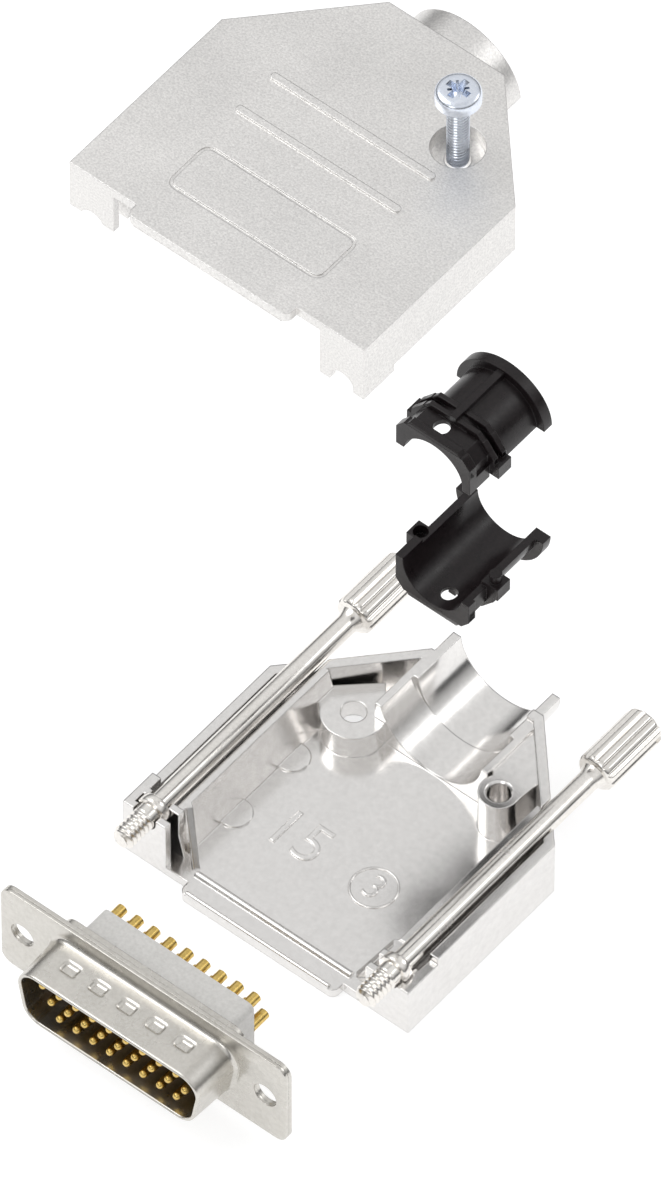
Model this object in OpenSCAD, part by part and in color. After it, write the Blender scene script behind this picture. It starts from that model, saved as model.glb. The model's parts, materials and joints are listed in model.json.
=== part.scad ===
// Die-cast hood for a 26-way high-density D connector, drawn as an exploded set.
// X = 0 is the middle of the width, Y = 0 the front face that the connector flange seats on,
// Z = 0 the underside of the lower casting. The cable leaves towards +Y.
// The two castings are one design, and so are the two clamp halves: the upper one of each
// pair is the lower one turned half a turn about the hood's long axis.

/* [Exploded view] */
// How far the connector stands in front of its seat
connector_out = 19.3; // [8:0.1:40]
// How far the lower clamp half is lifted off its cradle
clamp_lower_lift = 27; // [16:0.5:60]
// Clearance in height between the two lifted clamp halves' parting faces
clamp_spread = 19; // [10:0.5:40]
// How much further than the upper clamp half the cover is lifted
cover_spread = 50; // [20:0.5:80]
// How far the lifted cover stands to the left
cover_left = 6.2; // [0:0.1:10]
// How far the cover screw is drawn out of its seat
screw_lift = 9.6; // [3:0.1:9.8]

/* [Castings] */
// Distance from a thumbscrew axis to the hood's side face
edge_margin = 2.95; // [2.6:0.05:5]
// Thickness of the top and bottom plates
plate_t = 1.2; // [0.9:0.05:1.8]
// Thickness of the side and bevel walls
wall_t = 1.15; // [0.8:0.05:1.3]
// Length of the straight side walls
side_len = 24.6; // [22:0.1:27]
// Distance from the front face to the back edge of the plates
plate_len = 37.4; // [36:0.1:39]
// Width of the plates' back edge, between the bevels
back_w = 15.4; // [15.2:0.1:18]
// Height of the parting step above mid height, along the sides
parting_step = 0.4; // [0.2:0.05:0.8]
// Height of the front ears above mid height
ear_step = 0.55; // [0.3:0.05:1]
// Length of the front ears
ear_len = 5; // [4:0.1:8]
// Gap left between the castings, and between the clamp halves, when closed
parting_gap = 0.05; // [0.02:0.01:0.15]

/* [Front tab] */
// Width of the tab that carries the lip
tab_w = 21.4; // [16:0.1:24]
// Height of the lip and of the bead behind the connector
lip_h = 0.4; // [0.2:0.05:0.7]
// Thickness of the lip
lip_t = 0.55; // [0.4:0.05:0.9]
// Distance from the front face to the middle of the bead
bead_y = 1.45; // [1.2:0.05:1.6]
// Radius of the tab's front corners
tab_r = 0.9; // [0.4:0.1:1.4]

/* [Thumbscrews] */
// Distance between the two thumbscrew axes
screw_pitch = 33.3; // [32:0.1:36]
// Diameter of the thread
thread_d = 2.8; // [2.4:0.02:2.95]
// Length of thread in front of the hood
thread_out = 3.95; // [3:0.05:6]
// Gap between the end of the thread and the hood's front face
thread_stop = 0.35; // [0.3:0.05:0.6]
// Diameter of the shaft
shaft_d = 2.55; // [2.2:0.05:3]
// Diameter of the retaining collar
collar_d = 3.7; // [3.4:0.05:4.2]
// Thickness of the retaining collar
collar_t = 1.15; // [0.8:0.05:1.5]
// Distance from the front face to the knob's shoulder
knob_y = 34.8; // [32:0.1:40]
// Length of the knob
knob_len = 8.9; // [6:0.1:12]
// Diameter of the knob over its ridges
knob_d = 4.8; // [4.2:0.1:5.6]
// Number of flutes round the knob
flutes = 12; // [10:1:16]
// Width of one flute
flute_w = 0.72; // [0.5:0.02:0.8]
// Width of the screwdriver slot
slot_w = 0.8; // [0.5:0.05:1.2]
// Depth of the screwdriver slot
slot_depth = 1.1; // [0.6:0.1:2]

/* [Thumbscrew guides] */
// Thickness of the front wall and of the saddle behind the collar
guide_t = 0.9; // [0.7:0.05:1.2]
// Radial clearance of a thumbscrew in its guides
guide_clear = 0.14; // [0.08:0.01:0.2]
// Axial clearance each side of the collar
collar_clear = 0.1; // [0.05:0.01:0.2]
// Thickness of the channel wall at its top
channel_t = 0.9; // [0.6:0.05:1.2]
// How much wider the channel wall is at the floor
channel_draft = 1.6; // [0.5:0.1:2.2]
// Thickness of the corner gussets
gusset_t = 0.75; // [0.5:0.05:1]

/* [Cable end] */
// Outside radius of the collar round the cable
collar_r = 7.35; // [7.1:0.05:7.45]
// Distance from the front face to the end of the collar
hood_len = 40.6; // [40:0.1:43]
// Inside radius of the collar
collar_bore_r = 6.3; // [6.2:0.05:6.5]
// Distance from the front face to the start of the collar's bore
bore_step_y = 33.3; // [33.2:0.1:34]
// Distance from the front face to the start of the cradle
cradle_y = 27.8; // [27:0.1:28]
// Radius of the wider seat in front of the collar's bore
cradle_r = 7; // [6.9:0.05:7.2]
// Height of that seat's bottom above the plate
cradle_sill = 0.15; // [0.05:0.05:0.25]
// Thickness of the cradle's side walls
cradle_t = 0.8; // [0.5:0.05:1]

/* [Cover screws] */
// Distance from the hood's centre line to a cover screw
boss_x = 10; // [9.6:0.1:10.6]
// Distance from the front face to a cover screw
boss_y = 27; // [26:0.1:28]
// Outside diameter of the tapped boss
boss_d = 4.6; // [4:0.1:5.2]
// Height of the tapped boss and the platform beside it
boss_h = 7; // [6:0.1:7.1]
// Outside radius of the raised seat round the clearance hole
seat_r = 3.7; // [3.5:0.1:4]
// Height of the raised seat
seat_h = 4.5; // [4:0.1:6]
// Diameter of the screw's shank
screw_d = 2.45; // [2.2:0.05:2.6]
// Length of the screw under its head
screw_len = 10; // [9.9:0.1:10.6]
// Diameter of the screw's head
head_d = 5; // [4.4:0.1:5.2]
// Height of the screw's head
head_h = 1.9; // [1.5:0.1:2]
// Depth of the counterbore
counterbore_depth = 2.1; // [1.9:0.1:2.4]
// Radial clearance of the head in its counterbore
head_clear = 0.45; // [0.2:0.05:0.6]
// Radial clearance of the shank in the clearance hole
hole_clear = 0.2; // [0.1:0.05:0.3]
// Radial clearance of the shank in the tapped boss
tap_clear = 0.04; // [0.02:0.01:0.08]

/* [Cable clamp] */
// Radius of the clamp's bore
clamp_bore_r = 4; // [3.4:0.1:4.2]
// Thickness of the clamp's barrel
barrel_t = 0.9; // [0.6:0.1:1.1]
// Clearance between the clamp and the hood
clamp_clear = 0.35; // [0.25:0.05:0.5]
// Thickness of the front arch
arch_t = 1.1; // [0.8:0.1:1.4]
// Half width of the front arch
arch_half = 5; // [4.7:0.1:5.1]
// Half height of the front arch
arch_h = 4.7; // [4.5:0.1:4.8]
// Distance from the front arch to the first plate
deck_len = 2.2; // [1.8:0.1:2.6]
// Thickness of the clamp's two plates
fin_t = 0.7; // [0.5:0.05:0.8]
// Gap between the two plates
fin_gap = 0.7; // [0.4:0.05:0.9]
// Half width of the plates
fin_half = 5.6; // [5.4:0.1:5.8]
// Half height of the plates
fin_h = 4.4; // [4.3:0.1:4.6]
// Thickness of the rear flange
ring_t = 1.3; // [0.8:0.1:1.6]
// Diameter of the locating peg
peg_d = 1.4; // [1:0.1:1.5]
// Height of the locating peg
peg_h = 1.2; // [0.8:0.1:1.4]
// Clearance round the locating peg
peg_clear = 0.15; // [0.1:0.05:0.2]
// Diameter of the inspection hole in the deck
sight_d = 1.9; // [1.4:0.1:2]

/* [Label panel and ribs] */
// Width of the label panel
label_w = 20.5; // [16:0.5:24]
// Length of the label panel, front to back
label_h = 6.8; // [5:0.1:9]
// Distance from the front face to the middle of the label panel
label_y = 7.5; // [6:0.1:8]
// Depth of the label panel
label_depth = 0.15; // [0.05:0.05:0.3]
// Length of a rib on the cover
rib_len = 21.7; // [16:0.1:24]
// Width of a rib on the cover
rib_w = 0.8; // [0.5:0.05:1.2]
// Height of a rib on the cover
rib_h = 0.25; // [0.15:0.05:0.4]
// Distance from the front face to the first rib
rib_y = 16.5; // [14:0.1:18]
// Distance between the two ribs
rib_pitch = 5.6; // [4:0.1:7]

/* [Connector] */
// Height of the connector's flange
flange_h = 12.5; // [12.2:0.1:13.2]
// Clearance above and below the flange in the closed hood
flange_clear = 0.05; // [0.03:0.01:0.1]
// Thickness of each of the flange's two plates
flange_plate_t = 0.45; // [0.35:0.01:0.46]
// Radius of the flange's corners
flange_r = 1.5; // [0.8:0.1:2.5]
// Diameter of the flange's holes
flange_hole_d = 3.12; // [3:0.01:3.3]
// Width of the D shell, along its long side
d_w = 25.25; // [24:0.05:27]
// Height of the D shell
d_h = 8.36; // [7.9:0.02:8.8]
// Slant of the D shell's ends from upright
d_slant = 10; // [6:0.5:12]
// Radius of the D shell's corners
d_r = 2.2; // [1.6:0.1:2.6]
// Length of the D shell in front of the flange
d_len = 5.9; // [5:0.1:7]
// Thickness of the D shell
d_t = 0.45; // [0.3:0.05:0.5]
// Number of dimples along the D shell's long side
dimples = 5; // [3:1:6]
// Distance between the dimples
dimple_pitch = 3.9; // [3:0.1:4.2]
// How much narrower the connector's rear body is than the D shell
rear_narrower = 0.65; // [0.5:0.05:1]
// Height of the connector's rear body
rear_h = 10.4; // [9.8:0.1:10.8]
// Length of the rear shell's rim behind the flange
rear_rim = 1.2; // [0.8:0.1:1.6]
// Length of the rear insulator behind the flange
rear_len = 5; // [4:0.1:6]

/* [Contacts] */
// Number of contacts in each of the three rows, from the D's long side
row_counts = [9, 9, 8];
// Distance between the contacts of one row
contact_pitch = 2.29; // [2.1:0.01:2.4]
// Distance between the rows
row_pitch = 1.98; // [1.8:0.01:2.2]
// Diameter of a contact's pin
pin_d = 1; // [0.7:0.05:1.1]
// Length of a contact's solder cup behind the rear insulator
cup_len = 2.4; // [1.5:0.1:3.5]
// Clearance of a contact in the insulators
pin_clear = 0.02; // [0.01:0.01:0.04]

/* [Hidden] */
$fn = 64;

SHELLS = ["lower_shell", "cover", "cover_screw", "thumbscrew_left", "thumbscrew_right"];
CLAMPS = ["clamp_lower", "clamp_upper"];
PLUG = ["plug_front_shell", "plug_rear_shell", "plug_front_insulator", "plug_rear_insulator"];
contact_count = row_counts[0] + row_counts[1] + row_counts[2];

eps = 0.01;            // overlap that joins two volumes of one piece
big = 100;             // larger than the whole hood

hood_h = flange_h + 2 * flange_clear + 2 * plate_t;
mid_z = hood_h / 2;
screw_x = screw_pitch / 2;
half_w = screw_x + edge_margin;
back_half = back_w / 2;
bevel_angle = atan2(plate_len - side_len, half_w - back_half);

tab_depth = 2 * flange_plate_t + 2 * flange_clear + lip_t;
collar_y = guide_t + collar_clear;
saddle_y = collar_y + collar_t + collar_clear;
channel_x = screw_x - shaft_d / 2 - guide_clear;
channel_top = mid_z - parting_step - parting_gap;
corner_x = screw_x - collar_d / 2 - guide_clear - channel_t;

cradle_z = plate_t + cradle_sill + cradle_r;
cradle_half = sqrt(pow(cradle_r, 2) - pow(cradle_z - mid_z, 2)) + cradle_t;
half_top = mid_z - parting_gap / 2;

clamp_y = cradle_y + parting_gap;
fin_y = clamp_y + arch_t + deck_len;
fin_end = fin_y + 2 * fin_t + fin_gap;
ring_end = hood_len - 0.2;
ring_r = collar_bore_r - clamp_clear;
barrel_r = clamp_bore_r + barrel_t;
block_half = cradle_r - 2.2 * clamp_clear;
block_h = 1.8;
peg_x = (clamp_bore_r + block_half) / 2;
peg_y = (fin_y + fin_end) / 2;

flange_w = 2 * half_w - 0.06;
flange_front = -2 * flange_plate_t - flange_clear;
rear_w = d_w - rear_narrower;
insulator_front = 0.7;
pin_tip = flange_front - d_len + 0.7;
cup_d = pin_d + 0.3;

clamp_upper_lift = clamp_lower_lift + clamp_spread;
cover_lift = clamp_upper_lift + cover_spread;

function contact_name(i) = str("contact_", i < 10 ? "0" : "", i);
function unit_normal(a, b) = [b.y - a.y, a.x - b.x] / norm(b - a);
// Corners of the hood's plan, moved in by d
function hood_plan(d) = let (
    side_cut = d * tan((90 - bevel_angle) / 2),
    back_cut = d * tan(bevel_angle / 2)
) [[half_w - d, side_len - side_cut], [back_half - back_cut, plate_len - d],
   [back_cut - back_half, plate_len - d], [d - half_w, side_len - side_cut]];
// Centre of contact k (from 0) in row r: each row stands half a pitch beside the next
function contact_x(r, k) = (k - (row_counts[r] - 1) / 2) * contact_pitch
    + (r == 0 ? -contact_pitch / 4 : contact_pitch / 4);
function contact_row(i) = i <= row_counts[0] ? 0 : i <= row_counts[0] + row_counts[1] ? 1 : 2;
function contact_first(r) = r == 0 ? 0 : r == 1 ? row_counts[0] : row_counts[0] + row_counts[1];

// ---------- Shared shapes ----------

// Convex outline through circles of radius r at the given centres, listed anticlockwise
module rounded(centres, r) {
    n = len(centres);
    for (c = centres) translate(c) circle(r);
    polygon([for (i = [0:n - 1]) let (a = centres[i], b = centres[(i + 1) % n], m = unit_normal(a, b) * r)
        each [a + m, b + m]]);
}

module rounded_box(w, h, r) {
    x = w / 2 - r;
    y = h / 2 - r;
    rounded([[-x, -y], [x, -y], [x, y], [-x, y]], r);
}

// Solid along +Y from y0 to y1, from an outline drawn in the XZ plane
module along_y(y0, y1) {
    translate([0, y1, 0]) rotate([90, 0, 0]) linear_extrude(y1 - y0) children();
}

module rod(x, z, r, y0, y1) {
    along_y(y0, y1) translate([x, z]) circle(r);
}

module span(x0, x1, y0, y1, z0, z1) {
    translate([x0, y0, z0]) cube([x1 - x0, y1 - y0, z1 - z0]);
}

// Half a turn about the hood's long axis
module turned() {
    translate([0, 0, hood_h]) rotate([0, 180, 0]) children();
}

// ---------- Casting, used twice ----------

module plan_ring() {
    difference() {
        polygon(concat([[half_w, 0]], hood_plan(0), [[-half_w, 0]]));
        polygon(concat([[half_w - wall_t, -1]], hood_plan(wall_t), [[wall_t - half_w, -1]]));
    }
}

// Everything above the stepped parting line
module above_parting() {
    step_top = mid_z + parting_step;
    step_low = mid_z - parting_step - parting_gap;
    span(0, big, ear_len - eps, big, step_top, big);
    span(0, big, -big, ear_len, mid_z - ear_step - parting_gap, big);
    span(-big, eps, ear_len - parting_gap, big, step_low, big);
    span(-big, eps, -big, ear_len, mid_z + ear_step, big);
}

module outer_walls() {
    linear_extrude(mid_z + ear_step) plan_ring();
}

// Front tab with its lip, and the bead behind the connector
module front_tab() {
    x = tab_w / 2;
    lip_z = plate_t + lip_h - lip_t / 2;
    translate([0, eps, 0]) linear_extrude(plate_t) {
        rounded([[-x + tab_r, -tab_depth + tab_r], [x - tab_r, -tab_depth + tab_r],
                 [x - tab_r, 0], [-x + tab_r, 0]], tab_r);
    }
    span(-x + tab_r, x - tab_r, -tab_depth, lip_t - tab_depth, plate_t - eps, lip_z);
    translate([-x + tab_r, lip_t / 2 - tab_depth, lip_z]) rotate([0, 90, 0])
        cylinder(h = 2 * (x - tab_r), d = lip_t);
    translate([-x, bead_y, plate_t]) rotate([0, 90, 0]) cylinder(h = 2 * x, r = lip_h);
}

// Front corner wall, saddle and channel wall of one thumbscrew, on the +X side
module screw_guide() {
    span(corner_x, half_w - eps, 0, guide_t, 0, mid_z + ear_step);
    span(corner_x, half_w - eps, saddle_y, saddle_y + guide_t, 0, mid_z + ear_step);
    bevel_y = side_len + (half_w - channel_x) * tan(bevel_angle);
    along_y(saddle_y, bevel_y - wall_t)
        polygon([[channel_x - channel_t - channel_draft, 0], [channel_x, 0],
                 [channel_x, channel_top], [channel_x - channel_t, channel_top]]);
    corner_gusset();
}

module corner_gusset() {
    foot = [tab_w / 2 + 0.3, saddle_y - 0.4];
    rise = channel_x - channel_t - foot.x;
    translate([foot.x, foot.y, 0]) rotate([90, 0, 40]) translate([0, 0, -gusset_t / 2])
        linear_extrude(gusset_t)
            polygon([[0, 0], [rise / cos(40) + 0.5, 0], [rise / cos(40) + 0.5, channel_top],
                     [rise / cos(40) - 0.3, channel_top], [0, plate_t]]);
}

// Room for one thumbscrew, open towards the parting line
module screw_room(x) {
    thread_r = thread_d / 2 + guide_clear;
    shaft_r = shaft_d / 2 + guide_clear;
    collar_room = collar_d / 2 + guide_clear;
    open_slot(x, thread_r, -1, guide_t + eps);
    open_slot(x, collar_room, guide_t, saddle_y);
    open_slot(x, shaft_r, saddle_y - eps, plate_len);
}

module open_slot(x, r, y0, y1) {
    rod(x, mid_z, r, y0, y1);
    span(x - r, x + r, y0, y1, mid_z, big);
}

// Half-round cradle for the clamp, with the collar behind it
module cradle_body() {
    span(-cradle_half, cradle_half, cradle_y, plate_len - eps, 0, half_top);
    intersection() {
        rod(0, mid_z, collar_r, plate_len - wall_t, hood_len);
        span(-big, big, 0, big, 0, half_top);
    }
}

module cradle_bores() {
    rod(0, cradle_z, cradle_r, cradle_y - 1, bore_step_y);
    rod(0, mid_z, collar_bore_r, bore_step_y - eps, hood_len + 1);
}

// Tapped boss with the platform that ties it to the bevel wall
module boss_body() {
    wall = hood_plan(wall_t / 2);
    linear_extrude(boss_h) {
        translate([boss_x, boss_y]) circle(d = boss_d);
        polygon([[cradle_half - eps, cradle_y + 1], [boss_x - boss_d / 4, boss_y],
                 [boss_x + boss_d / 2 - eps, boss_y], [boss_x + boss_d / 2 - eps, boss_y + 1],
                 wall[0] * 0.45 + wall[1] * 0.55, wall[1], [cradle_half - 1, plate_len - wall_t]]);
    }
}

// Raised seat round the clearance hole, joined to the other bevel wall
module seat_body() {
    web_half = seat_r * 0.98;
    translate([-boss_x, boss_y, 0]) linear_extrude(seat_h) {
        circle(seat_r);
        rotate(90 - bevel_angle) translate([-web_half, 0]) square([2 * web_half, seat_r]);
    }
}

module seat_holes() {
    translate([-boss_x, boss_y, -1]) cylinder(h = big, d = screw_d + 2 * hole_clear);
    translate([-boss_x, boss_y, -1])
        cylinder(h = counterbore_depth + 1, d = head_d + 2 * head_clear);
}

module boss_hole() {
    depth = screw_len - (hood_h - counterbore_depth - boss_h) + 1;
    translate([boss_x, boss_y, boss_h - depth]) cylinder(h = big, d = screw_d + 2 * tap_clear);
    translate([boss_x, boss_y, boss_h - 0.3]) cylinder(h = 1, d1 = screw_d, d2 = screw_d + 2);
}

// Ejector pads beside the channel wall
module ejector_pads() {
    pad_r = 2;
    for (y = [10.3, 20]) intersection() {
        translate([channel_t + channel_draft - channel_x, y, 0]) cylinder(h = plate_t + 0.25, r = pad_r);
        span(-big, 0, 0, big, 0, big);
    }
}

module casting() {
    difference() {
        union() {
            linear_extrude(plate_t) polygon(concat([[half_w, 0]], hood_plan(0), [[-half_w, 0]]));
            outer_walls();
            front_tab();
            screw_guide();
            mirror([1, 0, 0]) screw_guide();
            cradle_body();
            boss_body();
            seat_body();
            ejector_pads();
        }
        above_parting();
        screw_room(screw_x);
        screw_room(-screw_x);
        cradle_bores();
        seat_holes();
        boss_hole();
    }
}

// ---------- Castings in place ----------

module lower_shell() {
    color("gainsboro") casting();
}

module cover_ribs() {
    x = (rib_len - rib_w) / 2;
    for (y = [rib_y, rib_y + rib_pitch]) translate([0, y, hood_h - eps]) linear_extrude(rib_h + eps)
        rounded([[-x, -0.05], [x, -0.05], [x, 0.05], [-x, 0.05]], rib_w / 2);
}

module label_panel() {
    translate([0, label_y, hood_h - label_depth]) linear_extrude(1) difference() {
        rounded_box(label_w, label_h, 1.2);
        rounded_box(label_w - 0.7, label_h - 0.7, 0.9);
    }
}

module cover() {
    color("silver") translate([-cover_left, 0, cover_lift]) {
        difference() {
            turned() casting();
            label_panel();
        }
        cover_ribs();
    }
}

// ---------- Screws ----------

module cover_screw() {
    recess_w = 0.75;
    recess_len = head_d * 0.56;
    seat_z = hood_h - counterbore_depth + cover_lift + screw_lift;
    color("lightsteelblue") translate([boss_x - cover_left, boss_y, seat_z]) difference() {
        union() {
            intersection() {
                cylinder(h = head_h, d = head_d);
                translate([0, 0, head_h - head_d * 0.78]) sphere(head_d * 0.78);
            }
            translate([0, 0, -screw_len]) cylinder(h = screw_len + eps, d = screw_d);
        }
        for (a = [0, 90]) rotate(a)
            translate([-recess_len / 2, -recess_w / 2, head_h - 1.1]) cube([recess_len, recess_w, 2]);
    }
}

module thumbscrew(x) {
    thread_r = thread_d / 2;
    shaft_r = shaft_d / 2;
    knob_r = knob_d / 2;
    knob_end = knob_y + knob_len;
    round_r = 0.5;
    color("whitesmoke") translate([x, 0, mid_z]) rotate([-90, 0, 0]) difference() {
        rotate_extrude() {
            polygon([[0, -thread_out], [thread_r - 0.5, -thread_out], [thread_r, 0.5 - thread_out],
                     [thread_r, -thread_stop], [shaft_r, 0.15 - thread_stop],
                     [shaft_r, collar_y], [collar_d / 2, collar_y],
                     [collar_d / 2, collar_y + collar_t], [shaft_r, collar_y + collar_t],
                     [shaft_r, knob_y - 0.8], [knob_r - round_r, knob_y],
                     [knob_r, knob_y + round_r], [knob_r, knob_end - round_r],
                     [knob_r - round_r, knob_end], [0, knob_end]]);
        }
        for (i = [0:flutes - 1]) rotate(i * 360 / flutes) translate([knob_r + flute_w * 0.2, 0, knob_y - 0.4])
            cylinder(h = knob_len + 1, d = flute_w, $fn = 24);
        translate([-knob_r - 1, -slot_w / 2, knob_end - slot_depth]) cube([knob_d + 2, slot_w, slot_depth + 1]);
    }
}

// ---------- Cable clamp, used twice ----------

// Outline of a plate below the parting line, with its two lower corners cut
module clamp_plate_outline(half, h, cut) {
    polygon([[-half, 0], [-half, cut - h], [cut * 0.8 - half, -h],
             [half - cut * 0.8, -h], [half, cut - h], [half, 0]]);
}

module clamp_half() {
    rib_top = ring_r - 0.35;
    translate([0, 0, mid_z]) difference() {
        union() {
            along_y(clamp_y, clamp_y + arch_t) clamp_plate_outline(arch_half, arch_h, 1.3);
            span(-arch_half, -clamp_bore_r, clamp_y, fin_y + eps, -1.5, 0.5);
            along_y(clamp_y, fin_y + eps) clamp_plate_outline(arch_half - 0.3, arch_h - 0.2, 1.6);
            for (y = [fin_y, fin_end - fin_t])
                along_y(y, y + fin_t) clamp_plate_outline(fin_half, fin_h, 1.9);
            for (s = [-1, 1])
                span(min(s * clamp_bore_r * 0.8, s * block_half), max(s * clamp_bore_r * 0.8, s * block_half),
                     fin_y, fin_end, -block_h, 0);
            span(-0.5, 0.5, fin_y, fin_end, -fin_h, 0);
            rod(0, 0, barrel_r, fin_y, ring_end);
            rod(0, 0, ring_r, ring_end - ring_t, ring_end);
            span(-0.45, 0.45, fin_y, ring_end, -rib_top, 0);
        }
        rod(0, 0, clamp_bore_r, 0, big);
        span(-arch_half - eps, big, 0, big, 0.5 + eps, big);
        span(-clamp_bore_r, big, 0, fin_y, -parting_gap / 2, big);
        span(-big, big, fin_y, big, -parting_gap / 2, big);
        span(clamp_bore_r * 0.9, big, 0, fin_y, -0.5 - parting_gap, big);
        translate([0.6, clamp_y + arch_t + deck_len / 2, -big]) cylinder(h = big, d = sight_d);
        translate([-peg_x, peg_y, -peg_h - peg_clear]) cylinder(h = big, d = peg_d + 2 * peg_clear);
    }
    translate([peg_x, peg_y, mid_z - block_h / 2]) cylinder(h = block_h / 2 + peg_h - 0.1, d = peg_d);
}

module clamp_lower() {
    color("#1c1a1b") translate([0, 0, clamp_lower_lift]) clamp_half();
}

module clamp_upper() {
    color("#1c1a1b") translate([0, 0, clamp_upper_lift]) turned() clamp_half();
}

// ---------- Connector ----------

module at_connector() {
    translate([0, -connector_out, mid_z]) children();
}

// D outline, long side up, moved in by d
module d_outline(d) {
    r = d_r - d;
    top = d_w / 2 - d_r;
    y = d_h / 2 - d_r;
    bottom = top - 2 * y * tan(d_slant);
    rounded([[-bottom, -y], [bottom, -y], [top, y], [-top, y]], r);
}

module flange_plate(y0, y1) {
    difference() {
        along_y(y0, y1) rounded_box(flange_w, flange_h, flange_r);
        for (x = [-screw_x, screw_x]) rod(x, 0, flange_hole_d / 2, y0 - 1, y1 + 1);
    }
}

module plug_front_shell() {
    plate_back = flange_front + flange_plate_t;
    tip = flange_front - d_len;
    color("silver") at_connector() difference() {
        union() {
            flange_plate(flange_front, plate_back);
            along_y(tip, flange_front + eps) d_outline(0);
            along_y(flange_front - 0.5, flange_front + eps) d_outline(-0.35);
        }
        along_y(tip - 1, plate_back + 1) d_outline(d_t);
        for (i = [0:dimples - 1])
            translate([(i - (dimples - 1) / 2) * dimple_pitch, flange_front - d_len / 2, d_h / 2])
                cube([1.9, 1.5, 0.4], center = true);
    }
}

module plug_rear_shell() {
    color("silver") at_connector() difference() {
        union() {
            flange_plate(-flange_clear - flange_plate_t, -flange_clear);
            along_y(-flange_clear - eps, rear_rim) rounded_box(rear_w, rear_h, 1.6);
        }
        along_y(-big, big) rounded_box(rear_w - 2 * d_t, rear_h - 2 * d_t, 1.6 - d_t);
    }
}

module contact_bores() {
    for (i = [1:contact_count]) let (r = contact_row(i), k = i - 1 - contact_first(r))
        rod(contact_x(r, k), (1 - r) * row_pitch, pin_d / 2 + pin_clear, -big, big);
}

module plug_front_insulator() {
    color("dimgray") at_connector() difference() {
        along_y(flange_front - insulator_front, flange_front + flange_plate_t) d_outline(d_t + pin_clear);
        contact_bores();
    }
}

module plug_rear_insulator() {
    front = -flange_clear - flange_plate_t;
    color("#202022") at_connector() difference() {
        union() {
            along_y(front, rear_rim) rounded_box(rear_w - 2 * d_t - 0.04, rear_h - 2 * d_t - 0.04, 1.1);
            along_y(0, rear_len) rounded_box(rear_w - 4, rear_h - 2, 0.8);
        }
        contact_bores();
    }
}

// One contact: round-nosed pin in front, solder cup behind
module contact(i) {
    r = contact_row(i);
    k = i - 1 - contact_first(r);
    cup_start = rear_len;
    cup_end = rear_len + cup_len;
    color("goldenrod") at_connector() translate([contact_x(r, k), 0, (1 - r) * row_pitch])
        rotate([-90, 0, 0]) difference() {
            rotate_extrude($fn = 32)
                polygon([[0, pin_tip], [pin_d * 0.25, pin_tip], [pin_d / 2, pin_tip + pin_d * 0.4],
                         [pin_d / 2, cup_start], [cup_d / 2, cup_start], [cup_d / 2, cup_end], [0, cup_end]]);
            translate([0, 0, cup_end - cup_len * 0.8]) cylinder(h = cup_len, d = pin_d, $fn = 32);
            translate([-cup_d, -cup_d, cup_end - cup_len * 0.6]) cube([2 * cup_d, cup_d, cup_len]);
        }
}

// ---------- Assembly ----------

lower_shell();
cover();
cover_screw();
thumbscrew(-screw_x);  // thumbscrew_left
thumbscrew(screw_x);  // thumbscrew_right
clamp_lower();
clamp_upper();
plug_front_shell();
plug_rear_shell();
plug_front_insulator();
plug_rear_insulator();
for (i = [1:contact_count])
    contact(i);
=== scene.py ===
"""Dresses the exploded die-cast D-sub hood: castings, thumbscrews, cable clamp, cover screw and connector.

Every size is in metres, in the part's own frame: X across the hood, Y towards the cable, Z up.
"""

from __future__ import annotations

import json
import logging
import math
from collections.abc import Callable, Sequence
from dataclasses import dataclass, field
from enum import Enum

import bmesh
import bpy
from mathutils import Matrix, Vector

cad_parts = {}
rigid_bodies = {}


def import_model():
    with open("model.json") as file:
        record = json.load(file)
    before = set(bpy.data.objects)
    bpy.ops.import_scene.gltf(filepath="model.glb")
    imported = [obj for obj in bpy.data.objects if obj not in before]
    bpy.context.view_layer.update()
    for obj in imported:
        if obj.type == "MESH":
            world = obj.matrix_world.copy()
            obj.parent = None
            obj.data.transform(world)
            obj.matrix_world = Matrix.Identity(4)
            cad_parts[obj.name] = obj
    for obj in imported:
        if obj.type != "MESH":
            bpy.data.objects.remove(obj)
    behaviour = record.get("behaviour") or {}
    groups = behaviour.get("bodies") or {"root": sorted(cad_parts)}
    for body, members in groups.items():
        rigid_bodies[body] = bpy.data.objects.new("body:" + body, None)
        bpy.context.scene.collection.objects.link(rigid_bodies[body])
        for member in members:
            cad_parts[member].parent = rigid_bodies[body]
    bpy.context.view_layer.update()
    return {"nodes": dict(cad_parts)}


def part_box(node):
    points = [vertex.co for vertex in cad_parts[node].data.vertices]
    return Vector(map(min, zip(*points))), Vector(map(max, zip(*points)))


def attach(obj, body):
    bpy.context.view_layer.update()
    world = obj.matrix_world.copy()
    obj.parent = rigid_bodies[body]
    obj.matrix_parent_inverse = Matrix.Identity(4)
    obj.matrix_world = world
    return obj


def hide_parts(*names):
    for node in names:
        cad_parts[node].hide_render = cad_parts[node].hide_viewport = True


LOG = logging.getLogger("hood")
MM = 0.001

Outline = list[tuple[float, float]]

# The stretch of a noise texture that is spread to the full range from 0 to 1.
NOISE_LOW, NOISE_HIGH = 0.3, 0.7
# How much the fine mottling counts in a finish's colour, beside the broad.
FINE_SHARE = 0.8
# How far turned marks are stretched round the axis.
RING_STRETCH = 0.02
# A thread's cross-section: the flat share of its root, and how steeply it rises to the crest.
ROOT_FLAT, FLANK_RISE = 0.12, 1.35
# How steeply a screw's tip tapers.
LEAD_SLOPE = 0.9


class Slot(Enum):
    """Material slot names for the added pieces; nothing in the script uses them."""

    SHELL = "shell_nickel"
    SCREW = "screw_zinc"
    THUMBSCREW = "thumbscrew_nickel"
    CLAMP = "clamp_plastic"
    PLUG = "plug_steel"
    CONTACT = "contact_gold"


# ---------- Node trees ----------


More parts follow.
